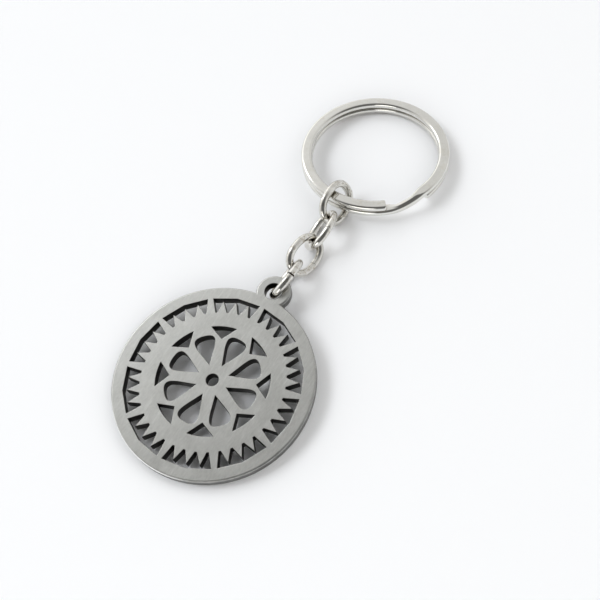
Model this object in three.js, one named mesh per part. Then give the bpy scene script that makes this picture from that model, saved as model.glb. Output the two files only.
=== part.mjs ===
// Metal keychain lying on a table: a pierced round pendant, four wire links and a split ring.
// Millimetres, +Z up. The chain runs along +Y from the pendant to the split ring.
// The origin is on the table, under the middle of the object's box.

import * as THREE from 'three';

// Clearance between two pieces that touch on the real chain
const seatGap = 0.22;

// Pendant plate
const plateRadius = 20;
const plateThickness = 2;
const plateChamfer = 0.2;
const plateArcSteps = 96;

// Eyelet on the plate's rim
const eyeletStandOff = 1.65;
const eyeletOffset = plateRadius + eyeletStandOff;
const eyeletRadius = 3.55;
const eyeletHoleRadius = 1.8;
const eyeletArcSteps = 26;
const eyeletHoleSteps = 24;

// Toothed band: bays between bridges, three sharp teeth in each bay
const bayCount = 10;
const notchesPerBay = 4;
const rimWidth = 2.5;
const bayPeakRise = 0.15;
const toothTipGap = 0.6;
const toothLength = 2.5;
const bayCornerRadius = plateRadius - rimWidth;
const bayPeakRadius = bayCornerRadius + bayPeakRise;
const toothTipRadius = bayCornerRadius - toothTipGap;
const notchRadius = toothTipRadius - toothLength;
const notchFlat = 0.38;
const bridgeOuterWidth = 1.16;
const bridgeInnerWidth = 1.88;

// Pierced rosette in the middle
const petalCount = 8;
const bandWidth = 3.1;
const bandInnerRadius = notchRadius - bandWidth;
const hubHoleRadius = 1.25;
const hubHoleSteps = 20;
const hubWidth = 2.05;
const petalEndWall = 1.8;
const petalRibWidth = 3.77;
const petalBellyShare = 0.62;
const petalSteps = 7;
const spandrelDepth = 2.6;
const spokeWidth = 3.78;
const spandrelSteps = 5;
const petalStartRadius = hubHoleRadius + hubWidth;
const petalEndRadius = bandInnerRadius - petalEndWall;
const petalHalfWidth = petalEndRadius * Math.sin(Math.PI / petalCount) - petalRibWidth / 2;
const spandrelTipRadius = bandInnerRadius - spandrelDepth;
const spandrelHalfWidth = (bandInnerRadius * Math.PI) / petalCount - spokeWidth / 2;

// Wire links, in order from the pendant
const linkWire = 1.5;
const linkLength = 10;
const linkWidth = 7.25;
const lastLinkLength = 10.4;
const lastLinkWidth = 8;
const linkSeam = 0.12;
const linkRoundness = 2.3;
const linkSteps = 38;
const wireSides = 8;

// How each link lies: turns in degrees, and its sideways shift as a share of its width
const linkLie = [
  { name: 'link_1', roll: 60.5, yaw: -0.8, pitch: -2.2, shiftShare: 0.04 },
  { name: 'link_2', roll: -48.3, yaw: -2.5, pitch: -4.5, shiftShare: 0.058 },
  { name: 'link_3', roll: 46.1, yaw: 2.3, pitch: 4.6, shiftShare: 0.007 },
  { name: 'link_4', roll: -60.2, yaw: 2.8, pitch: -0.3, shiftShare: -0.05 },
];

// The first link lifts the plate, and the last one the split ring, by this share of its wire
const wireLiftShare = 1.32;

// Split ring: one flat wire wound nearly twice round, with a step down between the turns
const ringDiameter = 31.9;
const ringWireWidth = 2.4;
const ringWireThickness = 1.18;
const ringTurnGap = 0.44;
const ringEdgeRadius = 0.34;
const ringEdgeSteps = 2;
const ringSteps = 84;
const ringTopStart = 306;
const ringStepStart = -18;
const ringStepSweep = 30;
const ringEndGap = 2;
const ringShift = -0.19;
const ringPlay = 0.35;

// Each piece is drawn back by this step until it clears the one that holds it
const seatStep = 0.01;
const seatSamples = 96;
const gapSamples = 1400;

const metal = { metalness: 1, roughness: 0.3 };
const plateColour = 0xaeb0ac;
const chainColour = 0xc9c7c2;

const radians = THREE.MathUtils.degToRad;
const fullTurn = 2 * Math.PI;

function polar(radius, angle) {
  return new THREE.Vector2(radius * Math.cos(angle), radius * Math.sin(angle));
}

function arc(centre, radius, from, to, steps) {
  const points = [];
  for (let i = 0; i <= steps; i += 1) {
    points.push(polar(radius, from + ((to - from) * i) / steps).add(centre));
  }
  return points;
}

function circle(centre, radius, steps) {
  return arc(centre, radius, 0, fullTurn, steps).slice(0, steps);
}

// Outer outline: the disc's rim, then the eyelet's, between the two places where they meet
function plateOutline() {
  const centre = new THREE.Vector2(0, 0);
  const eyelet = new THREE.Vector2(0, eyeletOffset);
  const meetHeight =
    (plateRadius ** 2 - eyeletRadius ** 2 + eyeletOffset ** 2) / (2 * eyeletOffset);
  const meetWidth = Math.sqrt(plateRadius ** 2 - meetHeight ** 2);
  const discFrom = Math.atan2(meetHeight, -meetWidth);
  const discTo = Math.atan2(meetHeight, meetWidth) + fullTurn;
  const eyeletFrom = Math.atan2(meetHeight - eyeletOffset, meetWidth);
  const eyeletTo = Math.PI - eyeletFrom;
  const rim = arc(centre, plateRadius, discFrom, discTo, plateArcSteps);
  const loop = arc(eyelet, eyeletRadius, eyeletFrom, eyeletTo, eyeletArcSteps);
  return rim.concat(loop.slice(1, -1));
}

// One bay of the toothed band: two flats outside, sharp teeth and flat notches inside
function bayOutline(start) {
  const pitch = fullTurn / bayCount;
  const notchPitch = pitch / notchesPerBay;
  const outerSide = bridgeOuterWidth / 2 / bayCornerRadius;
  const innerSide = bridgeInnerWidth / 2 / notchRadius;
  const halfFlat = notchFlat / 2 / notchRadius;
  const points = [
    polar(bayPeakRadius, start + pitch / 2),
    polar(bayCornerRadius, start + outerSide),
    polar(notchRadius, start + innerSide),
  ];
  for (let i = 0; i < notchesPerBay; i += 1) {
    const notch = start + notchPitch * (i + 1 / 2);
    if (i > 0) {
      points.push(polar(notchRadius, notch - halfFlat));
    }
    if (i < notchesPerBay - 1) {
      points.push(polar(notchRadius, notch + halfFlat));
      points.push(polar(toothTipRadius, start + notchPitch * (i + 1)));
    }
  }
  points.push(polar(notchRadius, start + pitch - innerSide));
  points.push(polar(bayCornerRadius, start + pitch - outerSide));
  return points;
}

// A window shaped like a petal, pointed towards the middle
function petalOutline(angle) {
  const belly = petalStartRadius + (petalEndRadius - petalStartRadius) * petalBellyShare;
  const start = new THREE.Vector2(petalStartRadius, 0);
  const end = new THREE.Vector2(petalEndRadius, 0);
  const out = new THREE.CubicBezierCurve(
    start,
    new THREE.Vector2(belly, petalHalfWidth),
    new THREE.Vector2(petalEndRadius, petalHalfWidth * 2),
    end,
  );
  const half = out.getPoints(petalSteps);
  const mirrored = half.slice(1, -1).reverse().map((p) => new THREE.Vector2(p.x, -p.y));
  return half.concat(mirrored).map((p) => p.rotateAround(new THREE.Vector2(), angle));
}

// A window between two petals: the band's inner edge outside, a point towards the middle
function spandrelOutline(angle) {
  const half = spandrelHalfWidth / bandInnerRadius;
  const centre = new THREE.Vector2();
  const edge = arc(centre, bandInnerRadius, angle - half, angle + half, spandrelSteps);
  edge.push(polar(spandrelTipRadius, angle));
  return edge;
}

function plateGeometry() {
  const shape = new THREE.Shape(plateOutline());
  const eyelet = new THREE.Vector2(0, eyeletOffset);
  shape.holes.push(new THREE.Path(circle(eyelet, eyeletHoleRadius, eyeletHoleSteps)));
  shape.holes.push(new THREE.Path(circle(new THREE.Vector2(), hubHoleRadius, hubHoleSteps)));
  for (let i = 0; i < bayCount; i += 1) {
    shape.holes.push(new THREE.Path(bayOutline(Math.PI / 2 + (fullTurn * i) / bayCount)));
  }
  for (let i = 0; i < petalCount; i += 1) {
    const angle = (fullTurn * i) / petalCount;
    shape.holes.push(new THREE.Path(petalOutline(angle)));
    shape.holes.push(new THREE.Path(spandrelOutline(angle + Math.PI / petalCount)));
  }
  const geometry = new THREE.ExtrudeGeometry(shape, {
    depth: plateThickness - 2 * plateChamfer,
    bevelThickness: plateChamfer,
    bevelSize: plateChamfer,
    bevelOffset: -plateChamfer,
    bevelSegments: 1,
  });
  geometry.translate(0, plateRadius, plateChamfer);
  return geometry;
}

// Centreline of a link: a rounded oval with a narrow butt seam in the middle of one side
class LinkCurve extends THREE.Curve {
  constructor(length, width) {
    super();
    this.halfLength = (length - linkWire) / 2;
    this.halfWidth = (width - linkWire) / 2;
    this.seamAngle = Math.asin(linkSeam / 2 / this.halfLength);
  }

  getPoint(t, target = new THREE.Vector3()) {
    const angle = this.seamAngle + t * (fullTurn - 2 * this.seamAngle);
    const c = Math.cos(angle);
    const s = Math.sin(angle);
    const power = 2 / linkRoundness;
    const x = Math.sign(c) * Math.abs(c) ** power * this.halfWidth;
    const y = Math.sign(s) * Math.abs(s) ** power * this.halfLength;
    return target.set(x, y, 0);
  }
}

function linkGeometry(curve) {
  const section = new THREE.Shape(circle(new THREE.Vector2(), linkWire / 2, wireSides));
  return new THREE.ExtrudeGeometry(section, {
    steps: linkSteps,
    bevelEnabled: false,
    extrudePath: curve,
  });
}

// Centreline of the split ring's wire: one turn on top, a step down, one turn below
class RingCurve extends THREE.Curve {
  constructor() {
    super();
    this.radius = (ringDiameter - ringWireWidth) / 2;
    this.level = (ringWireThickness + ringTurnGap) / 2;
    this.from = radians(ringTopStart);
    this.stepFrom = radians(ringStepStart);
    this.stepTo = this.stepFrom - radians(ringStepSweep);
    this.to = this.stepFrom - fullTurn + radians(ringEndGap);
  }

  angleAt(t) {
    return this.from + t * (this.to - this.from);
  }

  getPoint(t, target = new THREE.Vector3()) {
    const angle = this.angleAt(t);
    const down = THREE.MathUtils.smoothstep(-angle, -this.stepFrom, -this.stepTo);
    const flat = polar(this.radius, angle);
    return target.set(flat.x, flat.y, this.level * (1 - 2 * down));
  }

  // The section stays upright all the way round
  computeFrenetFrames(segments) {
    const tangents = [];
    const normals = [];
    const binormals = [];
    for (let i = 0; i <= segments; i += 1) {
      const tangent = this.getTangentAt(i / segments);
      const up = new THREE.Vector3(0, 0, 1);
      const normal = new THREE.Vector3().crossVectors(up, tangent).normalize();
      tangents.push(tangent);
      normals.push(normal);
      binormals.push(new THREE.Vector3().crossVectors(tangent, normal));
    }
    return { tangents, normals, binormals };
  }

  // Least distance between the faces of the two turns, measured on points along the wire
  leastSelfGap(samples) {
    const points = this.getSpacedPoints(samples);
    const reach = Math.ceil((samples * fullTurn) / (this.from - this.to) / 2);
    let least = Infinity;
    for (let i = 0; i < points.length; i += 1) {
      for (let j = i + reach; j < points.length; j += 1) {
        const apart = points[i].distanceTo(points[j]) - ringWireThickness;
        least = Math.min(least, apart);
      }
    }
    return least;
  }
}

function ringSection() {
  const x = ringWireWidth / 2 - ringEdgeRadius;
  const y = ringWireThickness / 2 - ringEdgeRadius;
  const quarter = fullTurn / 4;
  const corners = [[x, y], [-x, y], [-x, -y], [x, -y]];
  const points = corners.flatMap(([cx, cy], i) => {
    const centre = new THREE.Vector2(cx, cy);
    return arc(centre, ringEdgeRadius, quarter * i, quarter * (i + 1), ringEdgeSteps);
  });
  return new THREE.Shape(points);
}

function ringGeometry(curve) {
  return new THREE.ExtrudeGeometry(ringSection(), {
    steps: ringSteps,
    bevelEnabled: false,
    extrudePath: curve,
  });
}

function piece(name, geometry, colour) {
  const material = new THREE.MeshStandardMaterial({ ...metal, color: colour });
  const mesh = new THREE.Mesh(geometry, material);
  mesh.name = name;
  return mesh;
}

// Distance of a point to the plate round the eyelet, with the plate's own rim at y = 0
function plateDistance(point) {
  const fromDisc = Math.hypot(point.x, point.y - plateRadius) - plateRadius;
  const fromEyelet = Math.hypot(point.x, point.y - plateRadius - eyeletOffset);
  const flat = Math.max(
    Math.min(fromDisc, fromEyelet - eyeletRadius),
    eyeletHoleRadius - fromEyelet,
  );
  const upright = Math.max(-point.z, point.z - plateThickness);
  const box = Math.hypot(Math.max(flat, 0), Math.max(upright, 0));
  const chamfer = (flat + upright + plateChamfer) / Math.SQRT2;
  return Math.max(box + Math.min(Math.max(flat, upright), 0), chamfer);
}

// Distance of a point to the split ring's two turns, taken as one square ring
function ringDistance(point) {
  const height = 2 * ringWireThickness + ringTurnGap;
  const radius = (ringDiameter - ringWireWidth) / 2;
  const across = Math.abs(Math.hypot(point.x, point.y) - radius) - ringWireWidth / 2;
  const upright = Math.abs(point.z) - height / 2;
  const outside = Math.hypot(Math.max(across, 0), Math.max(upright, 0));
  return outside + Math.min(Math.max(across, upright), 0);
}

// From a place that is too far along the chain, back to the first one where a piece is clear
function drawBack(mesh, from, room, clear) {
  mesh.position.y = from;
  while (!clear() && mesh.position.y > from - room) {
    mesh.position.y -= seatStep;
  }
}

function leastDistance(points, others) {
  let least = Infinity;
  for (const a of points) {
    for (const b of others) {
      least = Math.min(least, a.distanceTo(b));
    }
  }
  return least;
}

function worldPoints(curve, mesh) {
  mesh.updateMatrix();
  return curve.getSpacedPoints(seatSamples).map((p) => p.applyMatrix4(mesh.matrix));
}

// The plate lies on its far rim and on the first link's wire
function makePendant() {
  const mesh = piece('pendant', plateGeometry(), plateColour);
  const lift = linkWire * wireLiftShare + seatGap;
  mesh.rotation.x = Math.asin(lift / (plateRadius + eyeletOffset + eyeletHoleRadius));
  mesh.position.y = -plateRadius;
  mesh.updateMatrix();
  return mesh;
}

// Each link lies on the table and is pulled along the chain until it meets the piece before it
function makeLinks(pendant) {
  const toPlate = pendant.matrix.clone().invert();
  const made = [];
  let previous = null;
  let holder = eyeletOffset + (eyeletRadius + eyeletHoleRadius) / 2;
  linkLie.forEach((lie, index) => {
    const last = index === linkLie.length - 1;
    const length = last ? lastLinkLength : linkLength;
    const width = last ? lastLinkWidth : linkWidth;
    const curve = new LinkCurve(length, width);
    const mesh = piece(lie.name, linkGeometry(curve), chainColour);
    mesh.rotation.set(radians(lie.pitch), -radians(lie.roll), radians(lie.yaw), 'ZXY');
    mesh.position.x = lie.shiftShare * width;
    const lowest = Math.min(...worldPoints(curve, mesh).map((p) => p.z));
    mesh.position.z = linkWire / 2 - lowest;
    const clear = () => {
      const points = worldPoints(curve, mesh);
      if (previous) {
        return leastDistance(points, previous) > linkWire + seatGap;
      }
      const gaps = points.map((p) => plateDistance(p.applyMatrix4(toPlate)));
      return Math.min(...gaps) > linkWire / 2 + seatGap;
    };
    drawBack(mesh, holder + curve.halfLength, length, clear);
    previous = worldPoints(curve, mesh);
    holder = mesh.position.y + curve.halfLength;
    made.push(mesh);
  });
  return { links: made, lastLine: previous };
}

// The split ring lies on its far edge and leans on the last link, with room there to turn over
function makeSplitRing(lastLine) {
  const curve = new RingCurve();
  const mesh = piece('split_ring', ringGeometry(curve), chainColour);
  const halfHeight = ringWireThickness + ringTurnGap / 2;
  const tilt = Math.asin((linkWire * wireLiftShare + seatGap) / ringDiameter);
  mesh.rotation.x = -tilt;
  mesh.position.x = ringShift;
  mesh.position.z = (ringDiameter / 2) * Math.sin(tilt) + halfHeight * Math.cos(tilt);
  const clear = () => {
    mesh.updateMatrix();
    const toRing = mesh.matrix.clone().invert();
    const gaps = lastLine.map((p) => ringDistance(p.clone().applyMatrix4(toRing)));
    return Math.min(...gaps) > linkWire / 2 + seatGap;
  };
  const holder = Math.max(...lastLine.map((p) => p.y));
  drawBack(mesh, holder + curve.radius, lastLinkLength, clear);
  mesh.position.y -= ringPlay;
  const gap = curve.leastSelfGap(gapSamples);
  console.log(`split_ring: least gap between its turns ${gap.toFixed(2)} mm`);
  return mesh;
}

function makeKeychain() {
  const pendant = makePendant();
  const { links, lastLine } = makeLinks(pendant);
  const ring = makeSplitRing(lastLine);
  const keychain = new THREE.Group();
  keychain.add(pendant, ...links, ring);
  keychain.updateMatrixWorld(true);
  const box = new THREE.Box3().setFromObject(keychain, true);
  keychain.position.set(
    -(box.min.x + box.max.x) / 2,
    -(box.min.y + box.max.y) / 2,
    -box.min.z,
  );
  return keychain;
}

export default makeKeychain();
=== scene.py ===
"""A metal keychain on a pale floor: a pierced pendant, four wire links and a split ring.

Metres throughout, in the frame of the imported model: +Y along the chain, +Z up.
"""

import math
from collections import namedtuple

import bpy
import numpy as np
from mathutils import Matrix, Vector
from mathutils.geometry import tessellate_polygon


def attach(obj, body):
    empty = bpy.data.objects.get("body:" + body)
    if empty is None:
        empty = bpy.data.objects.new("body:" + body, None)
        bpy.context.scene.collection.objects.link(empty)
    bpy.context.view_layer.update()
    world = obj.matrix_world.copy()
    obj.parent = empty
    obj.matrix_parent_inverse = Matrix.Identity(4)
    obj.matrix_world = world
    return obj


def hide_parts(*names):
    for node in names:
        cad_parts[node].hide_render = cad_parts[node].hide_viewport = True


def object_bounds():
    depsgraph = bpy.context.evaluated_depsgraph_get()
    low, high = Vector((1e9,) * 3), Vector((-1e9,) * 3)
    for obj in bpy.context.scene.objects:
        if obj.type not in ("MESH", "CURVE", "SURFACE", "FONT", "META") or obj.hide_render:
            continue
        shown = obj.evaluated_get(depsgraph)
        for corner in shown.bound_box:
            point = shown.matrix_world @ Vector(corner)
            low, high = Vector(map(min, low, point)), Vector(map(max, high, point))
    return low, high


FULL_TURN = 2 * math.pi
WHITE = (1.0, 1.0, 1.0)

# Pendant plate and eyelet
PLATE_RADIUS = 0.020
PLATE_THICKNESS = 0.002
PLATE_EDGE = 0.00036
HOLE_EDGE = 0.00011
EDGE_STEPS = 6
EDGE_BARE_STEPS = 2
RIM_STEPS = 240
EYELET_OFFSET = PLATE_RADIUS + 0.00165
EYELET_RADIUS = 0.00355
EYELET_HOLE_RADIUS = 0.0018
EYELET_STEPS = 64
HOLE_STEPS = 56

# Toothed band of the pendant
BAY_COUNT = 10
NOTCHES_PER_BAY = 4
BAY_CORNER_RADIUS = 0.0175
BAY_PEAK_RADIUS = 0.01765
TOOTH_TIP_RADIUS = 0.0169
NOTCH_RADIUS = 0.0144
NOTCH_FLAT = 0.00038
BRIDGE_OUTER_WIDTH = 0.00116
BRIDGE_INNER_WIDTH = 0.00188

# Rosette in the middle of the pendant
PETAL_COUNT = 8
BAND_INNER_RADIUS = 0.0113
HUB_HOLE_RADIUS = 0.00125
PETAL_START_RADIUS = 0.0033
PETAL_END_RADIUS = 0.0095
PETAL_HALF_WIDTH = 0.00175
PETAL_BELLY_SHARE = 0.62
PETAL_HANDLE_SHARE = 2
PETAL_STEPS = 26
SPANDREL_TIP_RADIUS = 0.0087
SPANDREL_HALF_WIDTH = 0.00255
SPANDREL_STEPS = 16

# Arc of the pendant's rim that is worn smooth, and painted near-white there as a highlight
WORN_HIGHLIGHT_TOWARDS = math.radians(-106)
WORN_HIGHLIGHT_HALF_ARC = math.radians(36)
WORN_HIGHLIGHT_FADE = math.radians(14)

# Wire links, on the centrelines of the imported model's thinner wire
LINK_WIRE = 0.0016
LINK_CORE = 0.0015
LINK_SEAMS = {"link_1": 0.00018}
FINE_SEAM = 0.000012
SEAM_ROUND_SHARE = 0.7
LINK_ROUNDNESS = 2.3
LINK_STEPS = 144
LINK_SIDES = 24
LINK_SAMPLES = 3000
LINKS = ("link_1", "link_2", "link_3", "link_4")

# Split ring
RING_DIAMETER = 0.0319
RING_WIRE_WIDTH = 0.0024
RING_RADIUS = (RING_DIAMETER - RING_WIRE_WIDTH) / 2
RING_WIRE_THICKNESS = 0.00134
RING_TURN_GAP = 0.00012
RING_EDGE_RADIUS = 0.00058
RING_EDGE_STEPS = 6
RING_FACE_STEPS = 16
RING_TOP_START = math.radians(309)
RING_LOW_END = math.radians(-16)
RING_STEP_START = math.radians(-20)
RING_STEP_END = math.radians(-51)
RING_LEAN_START = math.radians(-16.5)
RING_LEAN_FULL = math.radians(-28)
RING_LEAN_DEPTH = 0.3
RING_LEAN_SHARE = 0.5
RING_WAIST = 0.0008
RING_WAIST_START = math.radians(-17)
RING_WAIST_FULL = math.radians(-31)
RING_WAIST_LEFT = math.radians(-41)
RING_WAIST_END = math.radians(-50)
RING_STEPS = 420
RING_END_ROUND = 0.0005
RING_END_SHARE = 0.72

# Data type of a mixing node for each kind of socket
MIX_TYPES = {"Color": "RGBA", "Float": "FLOAT"}

# How often each grain repeats per metre, along each axis of its piece
GRAIN_SCALE = (3200, 900, 3200)
CLOUD_SCALE = (330, 210, 330)
HAIR_SCALE = (2300, 110, 2300)
STREAK_SCALE = (5200, 5200, 500)
PATCH_SCALE = (600, 600, 300)
LINK_WAVES = 700
RING_WAVES = 260
MARKS_PER_WAVE = (6, 2, 6)
SPOTS_PER_WAVE = (2, 2, 2)

# Turn of the hairlines out of the chain's direction, in radians about each axis
HAIR_TURN = (0, 0, 0.3)

# Where the tone of each grain starts to change and where it is full, on the noise's own scale
GRAIN_SPREAD = (0.3, 0.7)
CLOUD_SPREAD = (0.32, 0.68)
HAIR_SPREAD = (0.56, 0.68)
STREAK_SPREAD = (0.3, 0.7)
PATCH_SPREAD = (0.35, 0.65)
WAVE_SPREAD = (0.3, 0.7)
SPOT_SPREAD = (0.52, 0.66)
# Spread of the painted shade where wires all but touch
CONTACT_SHADE_SPREAD = (0.35, 0.70)

# Strength and depth of each grain
GRAIN_BUMP = (0.35, 0.00002)
HAIR_BUMP = (0.25, 0.00003)
STREAK_BUMP = (0.5, 0.00004)
WAVE_BUMP = (0.15, 0.00005)
MARK_BUMP = (0.12, 0.00001)

# Darkest and lightest tone of each metal
FACE_TONES = ((0.605, 0.61, 0.588), (0.675, 0.68, 0.658))
RIM_TONES = ((0.16, 0.16, 0.154), (0.26, 0.26, 0.25))
# Hole walls: cut steel darkened well below the rim wall by painted shade
SHADED_WALL_TONES = ((0.03, 0.029, 0.026), (0.065, 0.064, 0.058))
UNWORN_TONES = ((0.34, 0.34, 0.33), (0.48, 0.48, 0.465))
LINK_TONES = ((0.61, 0.595, 0.56), (0.87, 0.86, 0.825))
RING_TONES = ((0.73, 0.725, 0.69), (0.80, 0.795, 0.765))

# Part of the noise's scale over which roughness changes, and between which values it does
ROUGH_SPREAD = (0.3, 0.7)
MARK_ROUGH_SPREAD = (0.35, 0.75)
GRAIN_ROUGHNESS = (0.32, 0.42)
CLOUD_ROUGHNESS = (-0.04, 0.04)
STREAK_ROUGHNESS = (0.34, 0.5)
MARK_ROUGHNESS = (0.07, 0.16)

# Wear, with a painted highlight on the worn arc; stains; and painted brownish shade where wires
# touch
# The worn arc's near-white colour is a painted highlight; its low roughness is the wear
WORN_HIGHLIGHT_COLOUR = (0.96, 0.96, 0.95)
WORN_ROUGHNESS = 0.2
GRAIN_SHADE = 0.82
HAIR_SHADE = 0.94
PATCH_SHADE = 0.75
LINK_STAIN = (0.54, 0.50, 0.43)
RING_STAIN = (0.94, 0.93, 0.90)
# Painted shade, brownish, where wires all but touch: its colour and how far it reaches
CONTACT_SHADE_COLOUR = (0.30, 0.25, 0.19)
CONTACT_SHADE_REACH = 0.0011

# Camera of the photograph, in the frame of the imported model
CAMERA_PLACE = Vector((0.06886, -0.07234, 0.1595))
CAMERA_ELEVATION = math.radians(59.54)
CAMERA_AZIMUTH = math.radians(43.7)
CAMERA_ROLL = math.radians(-12.73)
CAMERA_LENS = 55.0
CAMERA_SENSOR = 36.0
CAMERA_CLIP_SHARE = 0.01

# Floor, a wide disc that sweeps up at its rim
FLOOR_RADIUS = 2.2
COVE_RADIUS = 0.3
COVE_STEPS = 16
FLOOR_SIDES = 64
FLOOR_COLOUR = (0.925, 0.933, 0.952)
FLOOR_ROUGHNESS = 0.9

# Sky and lamps, in the photograph's own directions: x to the right, y away from the
# camera, z up. A spread is two cosines of the angle from the brightest or the darkest part.
SKY_TOWARDS = Vector((-0.49, 0.85, 0.17)).normalized()
SKY_SPREAD = (0.62, 0.93)
SKY_LEVELS = (0.76, 1.46)
SHADE_TOWARDS = Vector((0.0, -0.50, 0.86)).normalized()
SHADE_SPREAD = (0.53, 0.82)
SHADE_LEVELS = (1.0, 0.19)
SKY_COLOUR = (1.0, 0.995, 0.98)
WARM_COLOUR = (1.0, 0.99, 0.96)
COOL_COLOUR = (0.95, 0.975, 1.0)

# Lamps, all discs at one distance; the last field says whether the metal reflects them
Lamp = namedtuple("Lamp", "name towards size power colour in_gloss")
LAMP_DISTANCE = 1.8
LAMPS = (
    Lamp("key", Vector((-0.62, 0.22, 0.75)), 0.8, 9.6, COOL_COLOUR, False),
    Lamp("front", Vector((0.10, -0.82, 0.56)), 1.4, 6.8, WARM_COLOUR, False),
    Lamp("right", Vector((0.66, -0.02, 0.75)), 1.8, 5.0, WARM_COLOUR, False),
    Lamp("window", Vector((-0.40, 0.62, 0.67)), 0.5, 2.6, COOL_COLOUR, True),
    Lamp("edge", Vector((-0.45, -0.80, 0.35)), 1.1, 5.0, WARM_COLOUR, True),
)

# Corners of an outline that turn by more than this keep a sharp edge
SHARP_TURN = math.radians(24)

# Material slots of the pendant
FACE_SLOT = 0
RIM_SLOT = 1
# Hole walls, darkened by painted shade
SHADED_WALL_SLOT = 2
# Rim's upper edge, painted near-white as a highlight along the worn arc
WORN_HIGHLIGHT_SLOT = 3


# Outlines in the plate's own plane


def polar(radius, angle):
    return Vector((radius * math.cos(angle), radius * math.sin(angle)))


def arc(centre, radius, start, end, steps):
    turns = [start + (end - start) * i / steps for i in range(steps + 1)]
    return [centre + polar(radius, turn) for turn in turns]


def circle(centre, radius, steps):
    return arc(centre, radius, 0, FULL_TURN, steps)[:steps]


def plate_outline():
    """The disc's rim, then the eyelet's, between the two places where they meet."""
    disc, eyelet = PLATE_RADIUS**2, EYELET_RADIUS**2
    height = (disc - eyelet + EYELET_OFFSET**2) / (2 * EYELET_OFFSET)
    width = math.sqrt(disc - height**2)
    rim_start = math.atan2(height, -width)
    rim_end = math.atan2(height, width) + FULL_TURN
    loop_start = math.atan2(height - EYELET_OFFSET, width)
    rim = arc(Vector((0, 0)), PLATE_RADIUS, rim_start, rim_end, RIM_STEPS)
    centre = Vector((0, EYELET_OFFSET))
    loop = arc(centre, EYELET_RADIUS, loop_start, math.pi - loop_start, EYELET_STEPS)
    return rim + loop[1:-1]


def bay_outline(start):
    """One opening of the toothed band, with two flats outside and sharp teeth inside."""
    pitch = FULL_TURN / BAY_COUNT
    notch_pitch = pitch / NOTCHES_PER_BAY
    outer_side = BRIDGE_OUTER_WIDTH / 2 / BAY_CORNER_RADIUS
    inner_side = BRIDGE_INNER_WIDTH / 2 / NOTCH_RADIUS
    half_flat = NOTCH_FLAT / 2 / NOTCH_RADIUS
    points = [
        polar(BAY_PEAK_RADIUS, start + pitch / 2),
        polar(BAY_CORNER_RADIUS, start + outer_side),
        polar(NOTCH_RADIUS, start + inner_side),
    ]
    for i in range(NOTCHES_PER_BAY):
        notch = start + notch_pitch * (i + 1 / 2)
        if i > 0:
            points.append(polar(NOTCH_RADIUS, notch - half_flat))
        if i < NOTCHES_PER_BAY - 1:
            points.append(polar(NOTCH_RADIUS, notch + half_flat))
            points.append(polar(TOOTH_TIP_RADIUS, start + notch_pitch * (i + 1)))
    points.append(polar(NOTCH_RADIUS, start + pitch - inner_side))
    points.append(polar(BAY_CORNER_RADIUS, start + pitch - outer_side))
    return points


def petal_outline(angle):
    """A window shaped like a petal, pointed towards the middle."""
    belly = PETAL_START_RADIUS + (PETAL_END_RADIUS - PETAL_START_RADIUS) * PETAL_BELLY_SHARE
    hull = (
        Vector((PETAL_START_RADIUS, 0)),
        Vector((belly, PETAL_HALF_WIDTH)),
        Vector((PETAL_END_RADIUS, PETAL_HALF_WIDTH * PETAL_HANDLE_SHARE)),
        Vector((PETAL_END_RADIUS, 0)),
    )
    half = []
    for i in range(PETAL_STEPS + 1):
        t = i / PETAL_STEPS
        shares = ((1 - t) ** 3, 3 * t * (1 - t) ** 2, 3 * t * t * (1 - t), t**3)
        half.append(sum((p * s for p, s in zip(hull, shares)), Vector((0, 0))))
    mirrored = [Vector((p.x, -p.y)) for p in reversed(half[1:-1])]
    turn = Matrix.Rotation(angle, 2)
    return [turn @ p for p in half + mirrored]


def spandrel_outline(angle):
    """A window between two petals, pointed towards the middle."""
    half = SPANDREL_HALF_WIDTH / BAND_INNER_RADIUS
    edge = arc(Vector((0, 0)), BAND_INNER_RADIUS, angle - half, angle + half, SPANDREL_STEPS)
    return edge + [polar(SPANDREL_TIP_RADIUS, angle)]


def plate_holes():
    holes = [
        circle(Vector((0, EYELET_OFFSET)), EYELET_HOLE_RADIUS, HOLE_STEPS),
        circle(Vector((0, 0)), HUB_HOLE_RADIUS, HOLE_STEPS),
    ]
    for i in range(BAY_COUNT):
        holes.append(bay_outline(math.pi / 2 + FULL_TURN * i / BAY_COUNT))
    for i in range(PETAL_COUNT):
        angle = FULL_TURN * i / PETAL_COUNT
        holes.append(petal_outline(angle))
        holes.append(spandrel_outline(angle + math.pi / PETAL_COUNT))
    return holes


# Mesh building


def signed_area(loop):
    pairs = zip(loop, loop[1:] + loop[:1])
    return sum(a.x * b.y - b.x * a.y for a, b in pairs) / 2


def corner_moves(loop):
    """For each point of a loop, the step that moves both its sides in by one unit, and its turn."""
    moves = []
    count = len(loop)
    for i, point in enumerate(loop):
        before = (point - loop[i - 1]).normalized()
        after = (loop[(i + 1) % count] - point).normalized()
        normal_before = Vector((-before.y, before.x))
        normal_after = Vector((-after.y, after.x))
        middle = (normal_before + normal_after).normalized()
        moves.append((middle / middle.dot(normal_before), before.angle(after)))
    return moves


def edge_profile(radius):
    """Distance inwards and height of each ring of a plate's edge, from top face to bottom."""
    upper = []
    for i in range(EDGE_STEPS + 1):
        turn = math.pi / 2 * i / EDGE_STEPS
        inset = radius * (1 - math.sin(turn))
        height = PLATE_THICKNESS / 2 - radius * (1 - math.cos(turn))
        upper.append((inset, height))
    lower = [(inset, -height) for inset, height in reversed(upper)]
    return upper + lower


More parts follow.
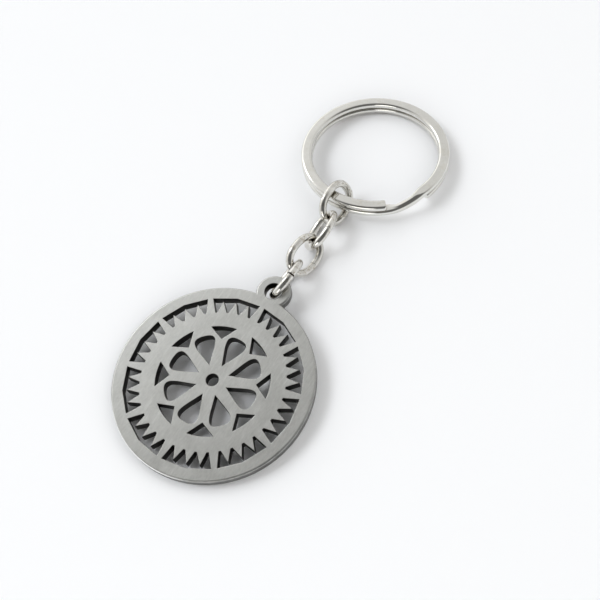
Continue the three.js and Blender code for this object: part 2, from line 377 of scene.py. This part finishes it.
class MeshParts:
    """Vertices, faces and face marks of one piece while it is being built."""

    def __init__(self):
        self.vertices = []
        self.faces = []
        self.slots = []
        self.smooth = []
        self.sharp = set()

    def add_points(self, points):
        first = len(self.vertices)
        self.vertices.extend(points)
        return list(range(first, len(self.vertices)))

    def add_face(self, corners, slot=0, smooth=True):
        self.faces.append(tuple(corners))
        self.slots.append(slot)
        self.smooth.append(smooth)

    def add_bridge(self, ring_a, ring_b, slot=0):
        count = len(ring_a)
        for i in range(count):
            j = (i + 1) % count
            self.add_face((ring_a[i], ring_a[j], ring_b[j], ring_b[i]), slot)

    def to_object(self, name, place, materials):
        mesh = bpy.data.meshes.new(name)
        points = [place @ Vector(v) for v in self.vertices]
        mesh.from_pydata(points, [], self.faces)
        for material in materials:
            mesh.materials.append(material)
        mesh.polygons.foreach_set("material_index", self.slots)
        mesh.polygons.foreach_set("use_smooth", self.smooth)
        for edge in mesh.edges:
            edge.use_edge_sharp = tuple(sorted(edge.vertices)) in self.sharp
        mesh.validate()
        mesh.update()
        piece = bpy.data.objects.new(name, mesh)
        bpy.context.scene.collection.objects.link(piece)
        return piece


def edge_slot(step, count, top_slot, wall_slot):
    """Material of one strip of a plate's edge, counted from the top face to the bottom one."""
    if EDGE_BARE_STEPS <= step < EDGE_STEPS:
        return top_slot
    if EDGE_STEPS <= step < count - EDGE_BARE_STEPS:
        return wall_slot
    return FACE_SLOT


def add_plate_edge(parts, loop, radius, inwards, top_slot, wall_slot):
    """Rounded edges and wall along one outline; returns the top and bottom rings."""
    if (signed_area(loop) > 0) != inwards:
        loop = list(reversed(loop))
    moves = corner_moves(loop)
    rings = []
    for inset, height in edge_profile(radius):
        points = [(p + m * inset).to_3d() for p, (m, _) in zip(loop, moves)]
        for point in points:
            point.z = height
        rings.append(parts.add_points(points))
    for k, (ring_a, ring_b) in enumerate(zip(rings, rings[1:])):
        slot = edge_slot(k, len(rings) - 1, top_slot, wall_slot)
        parts.add_bridge(ring_b, ring_a, slot)
        for i, (_, turn) in enumerate(moves):
            if turn > SHARP_TURN:
                parts.sharp.add(tuple(sorted((ring_a[i], ring_b[i]))))
    return rings[0], rings[-1]


def plate_parts():
    parts = MeshParts()
    tops = []
    bottoms = []
    outlines = [(plate_outline(), PLATE_EDGE, True, WORN_HIGHLIGHT_SLOT, RIM_SLOT)]
    outlines += [(hole, HOLE_EDGE, False, SHADED_WALL_SLOT, SHADED_WALL_SLOT) for hole in plate_holes()]
    for outline in outlines:
        top, bottom = add_plate_edge(parts, *outline)
        tops.append(top)
        bottoms.append(bottom)
    for rings, upwards in ((tops, True), (bottoms, False)):
        flat = [index for ring in rings for index in ring]
        loops = [[parts.vertices[i] for i in ring] for ring in rings]
        for triangle in tessellate_polygon(loops):
            corners = [flat[i] for i in triangle]
            a, b, c = (parts.vertices[i] for i in corners)
            if ((b - a).cross(c - a).z > 0) != upwards:
                corners.reverse()
            parts.add_face(corners, FACE_SLOT, smooth=False)
    return parts


def link_line(length, width, gap):
    """Centreline of a link, evenly spaced, open at a butt seam in the middle of one side."""
    half_length = (length - LINK_CORE) / 2
    half_width = (width - LINK_CORE) / 2
    seam = math.asin(gap / 2 / half_length)
    angles = np.linspace(seam, FULL_TURN - seam, LINK_SAMPLES)
    power = 2 / LINK_ROUNDNESS
    x = np.sign(np.cos(angles)) * np.abs(np.cos(angles)) ** power * half_width
    y = np.sign(np.sin(angles)) * np.abs(np.sin(angles)) ** power * half_length
    run = np.concatenate(([0], np.cumsum(np.hypot(np.diff(x), np.diff(y)))))
    steps = np.linspace(0, run[-1], LINK_STEPS + 1)
    return [Vector((a, b, 0)) for a, b in zip(np.interp(steps, run, x), np.interp(steps, run, y))]


def link_parts(length, width, gap):
    parts = MeshParts()
    line = link_line(length, width, gap)
    last = len(line) - 1
    radius = LINK_WIRE / 2
    stations = []
    for i, point in enumerate(line):
        tangent = (line[min(i + 1, last)] - line[max(i - 1, 0)]).normalized()
        stations.append((point, tangent, radius))
    first_point, first_tangent, _ = stations[0]
    last_point, last_tangent, _ = stations[-1]
    edge = gap * SEAM_ROUND_SHARE
    small = radius - edge
    stations[0] = (first_point + first_tangent * edge, first_tangent, radius)
    stations[-1] = (last_point - last_tangent * edge, last_tangent, radius)
    stations.insert(0, (first_point, first_tangent, small))
    stations.append((last_point, last_tangent, small))
    up = Vector((0, 0, 1))
    rings = []
    for point, tangent, size in stations:
        side = up.cross(tangent)
        turns = [FULL_TURN * k / LINK_SIDES for k in range(LINK_SIDES)]
        points = [point + size * (side * math.cos(a) + up * math.sin(a)) for a in turns]
        rings.append(parts.add_points(points))
    for ring_a, ring_b in zip(rings, rings[1:]):
        parts.add_bridge(ring_b, ring_a)
    parts.add_face(rings[0], smooth=False)
    parts.add_face(reversed(rings[-1]), smooth=False)
    return parts


def ring_section():
    """The wire's section, anticlockwise: round edges, and two broad faces in many strips."""
    x = RING_WIRE_WIDTH / 2 - RING_EDGE_RADIUS
    y = RING_WIRE_THICKNESS / 2 - RING_EDGE_RADIUS
    quarter = FULL_TURN / 4
    points = []
    for i, (cx, cy) in enumerate(((x, y), (-x, y), (-x, -y), (x, -y))):
        corner = Vector((cx, cy))
        points += arc(corner, RING_EDGE_RADIUS, quarter * i, quarter * (i + 1), RING_EDGE_STEPS)
        if i % 2 == 0:
            across = Vector((-2 * cx, 0)) / RING_FACE_STEPS
            points += [points[-1] + across * (k + 1) for k in range(RING_FACE_STEPS - 1)]
    return points


def smooth_step(value, start, end):
    share = min(max((value - start) / (end - start), 0), 1)
    return share * share * (3 - 2 * share)


def ring_end(step):
    """Angle from the wire's end, and share of its width, of one section of the rounded end."""
    turn = math.pi / 2 * step / EDGE_STEPS
    fade = RING_END_ROUND / RING_RADIUS
    width = RING_END_SHARE + (1 - RING_END_SHARE) * math.sin(turn)
    return fade * (1 - math.cos(turn)), width


def ring_stations():
    """Angle along the wire of each section, and its width as a share of the full one."""
    end = RING_LOW_END - FULL_TURN
    ends = [ring_end(i) for i in range(EDGE_STEPS + 1)]
    stations = [(RING_TOP_START - inwards, width) for inwards, width in ends]
    first = stations[-1][0]
    last = end + ends[-1][0]
    for i in range(1, RING_STEPS):
        stations.append((first + (last - first) * i / RING_STEPS, 1))
    stations += [(end + inwards, width) for inwards, width in reversed(ends)]
    return stations


def ring_step(angle, outside):
    """How far a line along the wire has come down at the step, and how far it has moved out."""
    down = smooth_step(angle, RING_STEP_START, RING_STEP_END)
    spread = RING_LEAN_SHARE * smooth_step(angle, RING_LEAN_START, RING_LEAN_FULL)
    lean = min(max((outside - 1 + spread) / RING_LEAN_SHARE, 0), 1)
    down += RING_LEAN_DEPTH * lean * (1 - down**3)
    waist = smooth_step(angle, RING_WAIST_START, RING_WAIST_FULL)
    waist -= smooth_step(angle, RING_WAIST_LEFT, RING_WAIST_END)
    return down, RING_WAIST * waist * (1 - outside)


def ring_parts():
    """One turn on top, a step down where the wire is narrower and leans out, and one turn below."""
    parts = MeshParts()
    section = ring_section()
    level = (RING_WIRE_THICKNESS + RING_TURN_GAP) / 2
    rings = []
    for angle, width in ring_stations():
        points = []
        for corner in section:
            down, out = ring_step(angle, 1 / 2 + corner.x / RING_WIRE_WIDTH)
            flat = polar(RING_RADIUS + corner.x * width + out, angle)
            points.append(Vector((flat.x, flat.y, level * (1 - 2 * down) + corner.y)))
        rings.append(parts.add_points(points))
    for ring_a, ring_b in zip(rings, rings[1:]):
        parts.add_bridge(ring_a, ring_b)
    parts.add_face(reversed(rings[0]), smooth=False)
    parts.add_face(rings[-1], smooth=False)
    return parts


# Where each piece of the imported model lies


def node_points(name):
    return np.array([vertex.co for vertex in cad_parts[name].data.vertices])


def node_place(name, along_x):
    """A piece's own frame: +Z out of its flat side, +Y along the chain, origin in its middle."""
    points = node_points(name)
    middle = points.mean(axis=0)
    _, axes = np.linalg.eigh(np.cov((points - middle).T))
    normal = Vector(axes[:, 0])
    normal *= math.copysign(1, normal.z)
    if along_x:
        length = normal.cross(Vector((1, 0, 0))).normalized()
    else:
        length = Vector(axes[:, 2])
        length *= math.copysign(1, length.y)
    width = length.cross(normal)
    turn = Matrix((width, length, normal)).transposed()
    own = (points - middle) @ np.array(turn)
    lowest = Vector(own.min(axis=0))
    highest = Vector(own.max(axis=0))
    return Vector(middle), turn, lowest, highest


def place_matrix(origin, turn, own_origin):
    return Matrix.Translation(origin + turn @ own_origin) @ turn.to_4x4()


# Materials


def new_material(name):
    material = bpy.data.materials.new(name)
    material.use_nodes = True
    return material, material.node_tree, material.node_tree.nodes["Principled BSDF"]


def feed(tree, socket, value):
    """Links a socket to another node's output, or sets its own value."""
    if hasattr(value, "is_output"):
        tree.links.new(value, socket)
    elif socket.type == "RGBA":
        socket.default_value = (*value, 1.0)
    else:
        socket.default_value = value


def add_node(tree, kind, settings=(), inputs=()):
    node = tree.nodes.new(kind)
    for key, value in dict(settings).items():
        setattr(node, key, value)
    for key, value in dict(inputs).items():
        feed(tree, node.inputs[key], value)
    return node


def stretched_noise(tree, scale, detail=3.0, rough=0.55, turn=(0, 0, 0)):
    """Noise over the piece's own space, with a scale of its own along each axis."""
    place = add_node(tree, "ShaderNodeTexCoord").outputs["Object"]
    inputs = {"Vector": place, "Scale": scale, "Rotation": turn}
    place = add_node(tree, "ShaderNodeMapping", inputs=inputs).outputs["Vector"]
    inputs = {"Vector": place, "Scale": 1.0, "Detail": detail, "Roughness": rough}
    return add_node(tree, "ShaderNodeTexNoise", inputs=inputs).outputs["Fac"]


def ramp(tree, value, spread, tones):
    node = add_node(tree, "ShaderNodeValToRGB", inputs={"Fac": value})
    for element, place, tone in zip(node.color_ramp.elements, spread, tones):
        element.position = place
        element.color = (*tone, 1.0)
    return node.outputs["Color"]


def remap(tree, value, spread, limits):
    names = ("Value", "From Min", "From Max", "To Min", "To Max")
    inputs = dict(zip(names, (value, *spread, *limits)))
    return add_node(tree, "ShaderNodeMapRange", inputs=inputs).outputs["Result"]


def math_node(tree, operation, a, b):
    inputs = {0: a, 1: b}
    return add_node(tree, "ShaderNodeMath", {"operation": operation}, inputs).outputs["Value"]


def vector_node(tree, operation, a, b=None):
    inputs = {0: a} if b is None else {0: a, 1: b}
    return add_node(tree, "ShaderNodeVectorMath", {"operation": operation}, inputs).outputs


def mix(tree, kind, share, a, b, blend="MIX"):
    """Mixes two colours or two plain values; the kind is Color or Float."""
    settings = {"data_type": MIX_TYPES[kind], "blend_type": blend}
    node = add_node(tree, "ShaderNodeMix", settings)
    inputs = {socket.identifier: socket for socket in node.inputs}
    outputs = {socket.identifier: socket for socket in node.outputs}
    feed(tree, inputs["Factor_Float"], share)
    feed(tree, inputs["A_" + kind], a)
    feed(tree, inputs["B_" + kind], b)
    return outputs["Result_" + kind]


def multiply(tree, a, b):
    return mix(tree, "Color", 1.0, a, b, "MULTIPLY")


def bump(tree, height, strength, depth, below=None):
    inputs = {"Height": height, "Strength": strength, "Distance": depth}
    if below is not None:
        inputs["Normal"] = below
    return add_node(tree, "ShaderNodeBump", inputs=inputs).outputs["Normal"]


def set_metal(tree, shader, colour, rough, normal):
    shader.inputs["Metallic"].default_value = 1.0
    feed(tree, shader.inputs["Base Color"], colour)
    feed(tree, shader.inputs["Roughness"], rough)
    feed(tree, shader.inputs["Normal"], normal)


def grey(level):
    return level, level, level


def satin_steel():
    """The pendant's faces: fine grain along the chain, faint clouds and a few hairlines."""
    material, tree, shader = new_material("satin_steel")
    grain = stretched_noise(tree, GRAIN_SCALE, detail=5, rough=0.75)
    clouds = stretched_noise(tree, CLOUD_SCALE, detail=4, rough=0.6)
    hairs = stretched_noise(tree, HAIR_SCALE, detail=2, turn=HAIR_TURN)
    tone = ramp(tree, clouds, CLOUD_SPREAD, FACE_TONES)
    specks = ramp(tree, grain, GRAIN_SPREAD, (grey(GRAIN_SHADE), WHITE))
    scratches = ramp(tree, hairs, HAIR_SPREAD, (grey(HAIR_SHADE), WHITE))
    colour = multiply(tree, multiply(tree, tone, specks), scratches)
    grain_rough = remap(tree, grain, ROUGH_SPREAD, GRAIN_ROUGHNESS)
    cloud_rough = remap(tree, clouds, ROUGH_SPREAD, CLOUD_ROUGHNESS)
    rough = math_node(tree, "ADD", grain_rough, cloud_rough)
    normal = bump(tree, grain, *GRAIN_BUMP, below=bump(tree, hairs, *HAIR_BUMP))
    set_metal(tree, shader, colour, rough, normal)
    return material


def cut_steel(name, tones):
    """The pendant's walls: darker than its faces, with upright streaks from the cut."""
    material, tree, shader = new_material(name)
    streaks = stretched_noise(tree, STREAK_SCALE, detail=3, rough=0.6)
    patches = stretched_noise(tree, PATCH_SCALE, detail=2)
    shade = ramp(tree, patches, PATCH_SPREAD, (grey(PATCH_SHADE), WHITE))
    colour = multiply(tree, ramp(tree, streaks, STREAK_SPREAD, tones), shade)
    rough = remap(tree, streaks, ROUGH_SPREAD, STREAK_ROUGHNESS)
    set_metal(tree, shader, colour, rough, bump(tree, streaks, *STREAK_BUMP))
    return material, tree, shader


def worn_highlight_arc(tree, centre):
    """One on the arc of the rim that is worn and painted as a highlight, as seen from the pendant's
    middle, and zero elsewhere.
    """
    place = add_node(tree, "ShaderNodeTexCoord").outputs["Object"]
    arm = vector_node(tree, "SUBTRACT", place, centre)["Vector"]
    unit = vector_node(tree, "NORMALIZE", arm)["Vector"]
    towards = vector_node(tree, "DOT_PRODUCT", unit, polar(1, WORN_HIGHLIGHT_TOWARDS).to_3d())["Value"]
    faded = math.cos(WORN_HIGHLIGHT_HALF_ARC)
    full = math.cos(WORN_HIGHLIGHT_HALF_ARC - WORN_HIGHLIGHT_FADE)
    return remap(tree, towards, (faded, full), (0, 1))


def worn_highlight_steel(centre):
    """The rim's upper edge: as cut, but along one arc polished by wear and painted near-white as a
    highlight.
    """
    material, tree, shader = cut_steel("worn_highlight_steel", UNWORN_TONES)
    highlight_share = worn_highlight_arc(tree, centre)
    colour, rough = shader.inputs["Base Color"], shader.inputs["Roughness"]
    cut_colour = colour.links[0].from_socket
    cut_rough = rough.links[0].from_socket
    feed(tree, colour, mix(tree, "Color", highlight_share, cut_colour, WORN_HIGHLIGHT_COLOUR))
    feed(tree, rough, mix(tree, "Float", highlight_share, cut_rough, WORN_ROUGHNESS))
    return material


def contact_shade(tree):
    """Painted shade, brownish, where one piece of wire all but touches another."""
    closeness = add_node(tree, "ShaderNodeAmbientOcclusion", inputs={"Distance": CONTACT_SHADE_REACH})
    return ramp(tree, closeness.outputs["AO"], CONTACT_SHADE_SPREAD, (CONTACT_SHADE_COLOUR, WHITE))


def polished_nickel(name, scale, tones, stain):
    """Plating on the wire: bright, with faint waves, fine scratches, marks and warm stains."""
    material, tree, shader = new_material(name)
    marks_scale = [scale * share for share in MARKS_PER_WAVE]
    spots_scale = [scale * share for share in SPOTS_PER_WAVE]
    waves = stretched_noise(tree, (scale, scale, scale), detail=2)
    marks = stretched_noise(tree, marks_scale, detail=4, rough=0.65)
    spots = stretched_noise(tree, spots_scale, detail=5, rough=0.7)
    stains = ramp(tree, spots, SPOT_SPREAD, (WHITE, stain))
    colour = multiply(tree, ramp(tree, waves, WAVE_SPREAD, tones), stains)
    # Painted brownish shade where one wire all but touches another
    colour = multiply(tree, colour, contact_shade(tree))
    rough = remap(tree, marks, MARK_ROUGH_SPREAD, MARK_ROUGHNESS)
    normal = bump(tree, marks, *MARK_BUMP, below=bump(tree, waves, *WAVE_BUMP))
    set_metal(tree, shader, colour, rough, normal)
    return material


# The pieces


def finish_piece(piece, node):
    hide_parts(node)
    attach(piece, node)
    return piece


def make_pendant():
    origin, turn, lowest, highest = node_place("pendant", along_x=True)
    height = (lowest.z + highest.z) / 2
    own = Vector(((lowest.x + highest.x) / 2, lowest.y + PLATE_RADIUS, height))
    place = place_matrix(origin, turn, own)
    rim, _, _ = cut_steel("rim_steel", RIM_TONES)
    # Hole walls: the same cut steel, darkened well below the rim wall by painted shade
    wall, _, _ = cut_steel("cut_steel", SHADED_WALL_TONES)
    materials = (satin_steel(), rim, wall, worn_highlight_steel(place.translation))
    piece = plate_parts().to_object("pierced_pendant", place, materials)
    return finish_piece(piece, "pendant")


def make_link(node, material):
    origin, turn, lowest, highest = node_place(node, along_x=False)
    place = place_matrix(origin, turn, (lowest + highest) / 2)
    size = highest - lowest
    parts = link_parts(size.y, size.x, LINK_SEAMS.get(node, FINE_SEAM))
    piece = parts.to_object("wire_" + node, place, (material,))
    return finish_piece(piece, node)


def make_ring(material):
    origin, turn, lowest, highest = node_place("split_ring", along_x=True)
    place = place_matrix(origin, turn, (lowest + highest) / 2)
    piece = ring_parts().to_object("key_split_ring", place, (material,))
    return finish_piece(piece, "split_ring")


# The stage


def photo_turn():
    """Turns the photograph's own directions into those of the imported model."""
    return Matrix.Rotation(CAMERA_AZIMUTH, 3, "Z")


def make_floor():
    """A wide floor that the object lies on, and that sweeps up into a low wall at its rim."""
    lowest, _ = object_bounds()
    parts = MeshParts()
    rings = []
    for i in range(COVE_STEPS + 1):
        turn = math.pi / 2 * i / COVE_STEPS
        radius = FLOOR_RADIUS + COVE_RADIUS * math.sin(turn)
        height = lowest.z + COVE_RADIUS * (1 - math.cos(turn))
        outline = circle(Vector((0, 0)), radius, FLOOR_SIDES)
        rings.append(parts.add_points([(p.x, p.y, height) for p in outline]))
    parts.add_face(rings[0], smooth=False)
    for ring_a, ring_b in zip(rings, rings[1:]):
        parts.add_bridge(ring_b, ring_a)
    material, tree, shader = new_material("pale_floor")
    feed(tree, shader.inputs["Base Color"], FLOOR_COLOUR)
    feed(tree, shader.inputs["Roughness"], FLOOR_ROUGHNESS)
    parts.to_object("floor", Matrix.Identity(4), (material,))


def make_lights():
    """Soft lamps that light the floor; two of them show in the metal as well."""
    for spec in LAMPS:
        data = bpy.data.lights.new(spec.name, "AREA")
        data.shape = "DISK"
        data.size = spec.size
        data.energy = spec.power
        data.color = spec.colour
        lamp = bpy.data.objects.new(spec.name, data)
        towards = photo_turn() @ spec.towards.normalized()
        lamp.location = towards * LAMP_DISTANCE
        lamp.rotation_euler = towards.to_track_quat("Z", "Y").to_euler()
        lamp.visible_glossy = spec.in_gloss
        bpy.context.scene.collection.objects.link(lamp)


def sky_towards(tree, direction):
    """How far the sky's direction agrees with one given in the photograph's own directions."""
    place = add_node(tree, "ShaderNodeTexCoord").outputs["Generated"]
    return vector_node(tree, "DOT_PRODUCT", place, photo_turn() @ direction)["Value"]


def make_world():
    """A pale studio: brightest low beyond the object, with a dark patch in front and above."""
    world = bpy.data.worlds.new("studio")
    bpy.context.scene.world = world
    world.use_nodes = True
    tree = world.node_tree
    glow = remap(tree, sky_towards(tree, SKY_TOWARDS), SKY_SPREAD, SKY_LEVELS)
    shade = remap(tree, sky_towards(tree, SHADE_TOWARDS), SHADE_SPREAD, SHADE_LEVELS)
    level = math_node(tree, "MULTIPLY", glow, shade)
    background = tree.nodes["Background"]
    feed(tree, background.inputs["Color"], SKY_COLOUR)
    feed(tree, background.inputs["Strength"], level)


def make_camera():
    ahead = Vector((0, math.cos(CAMERA_ELEVATION), -math.sin(CAMERA_ELEVATION)))
    right = Vector((1, 0, 0))
    up = right.cross(ahead)
    side = math.cos(CAMERA_ROLL) * right + math.sin(CAMERA_ROLL) * up
    top = math.cos(CAMERA_ROLL) * up - math.sin(CAMERA_ROLL) * right
    turn = photo_turn() @ Matrix((side, top, -ahead)).transposed()
    data = bpy.data.cameras.new("camera")
    data.lens = CAMERA_LENS
    data.sensor_width = CAMERA_SENSOR
    data.clip_start = CAMERA_PLACE.z * CAMERA_CLIP_SHARE
    camera = bpy.data.objects.new("camera", data)
    camera.matrix_world = Matrix.Translation(CAMERA_PLACE) @ turn.to_4x4()
    bpy.context.scene.collection.objects.link(camera)
    bpy.context.scene.camera = camera


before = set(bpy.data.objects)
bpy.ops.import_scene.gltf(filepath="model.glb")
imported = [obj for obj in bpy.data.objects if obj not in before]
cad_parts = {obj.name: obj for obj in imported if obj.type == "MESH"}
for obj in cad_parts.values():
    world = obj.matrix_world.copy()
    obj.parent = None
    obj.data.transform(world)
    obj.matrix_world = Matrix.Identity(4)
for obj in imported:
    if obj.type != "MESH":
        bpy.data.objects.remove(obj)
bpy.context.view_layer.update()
bpy.context.scene.view_settings.view_transform = "Standard"
make_camera()
make_pendant()
link_metal = polished_nickel("link_nickel", LINK_WAVES, LINK_TONES, LINK_STAIN)
for link in LINKS:
    make_link(link, link_metal)
ring_metal = polished_nickel("ring_nickel", RING_WAVES, RING_TONES, RING_STAIN)
make_ring(ring_metal)
make_floor()
make_lights()
make_world()
